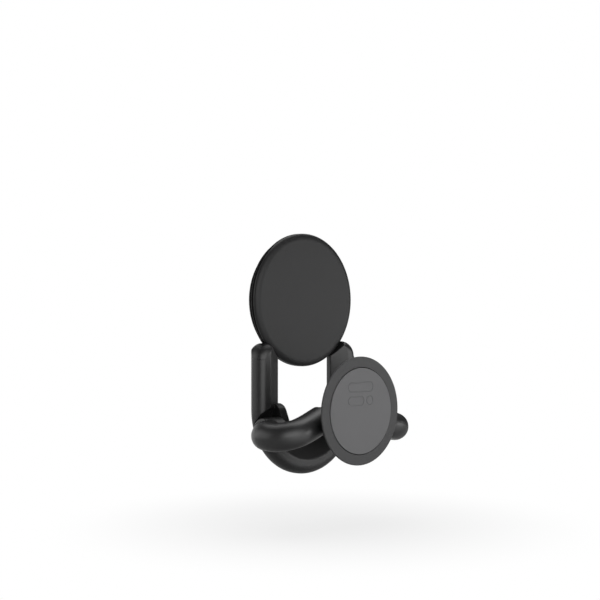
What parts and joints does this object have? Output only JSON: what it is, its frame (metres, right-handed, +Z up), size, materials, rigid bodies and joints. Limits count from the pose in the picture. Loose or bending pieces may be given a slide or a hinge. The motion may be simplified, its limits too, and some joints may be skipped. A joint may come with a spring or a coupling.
{
  "type": "adhesive phone mount",
  "caption": "Stick-on round base with a hinged looped arm and a U-shaped fork that carries a round pop-out phone grip between its prongs.",
  "frame": {"origin": "centre of the adhesive pad's free face", "axes": "-Y out of the adhesive face towards the wall, +Z up along the prongs, +X across the prongs"},
  "size_m": [0.0572, 0.0292, 0.0721],
  "materials": {
    "base_plastic": "satin",
    "adhesive": "matt",
    "arm_plastic": "satin",
    "fork_plastic": "satin",
    "steel": "blackened",
    "grip_plastic": "matt",
    "soft_sleeve": "matt",
    "cover_plastic": "matt"
  },
  "bodies": {
    "base": {"base_plate": "base_plastic", "adhesive_pad": "adhesive", "hinge_cap": "arm_plastic", "cap_screw_lower": "steel", "cap_screw_upper": "steel"},
    "arm": {"arm": "arm_plastic"},
    "fork": {"fork": "fork_plastic", "fold_pin_right": "steel", "fold_pin_left": "steel", "grip_pad": "adhesive", "grip_platform": "grip_plastic", "grip_bellows": "soft_sleeve"},
    "button": {"grip_button": "grip_plastic", "grip_cover": "cover_plastic"}
  },
  "joints": [
    {"name": "tilt", "type": "hinge", "parent": "base", "child": "arm", "pos_m": [0, 0.00895, -0.003], "axis": [1, 0, 0], "range_deg": [-30, 10]},
    {"name": "fold", "type": "hinge", "parent": "arm", "child": "fork", "pos_m": [0, 0.02025, -0.0066], "axis": [1, 0, 0], "range_deg": [-38, 4]},
    {"name": "pop", "type": "slide", "parent": "fork", "child": "button", "axis": [0, -1, 0], "range_m": [0, 0.015], "deforming": ["grip_bellows"]}
  ]
}
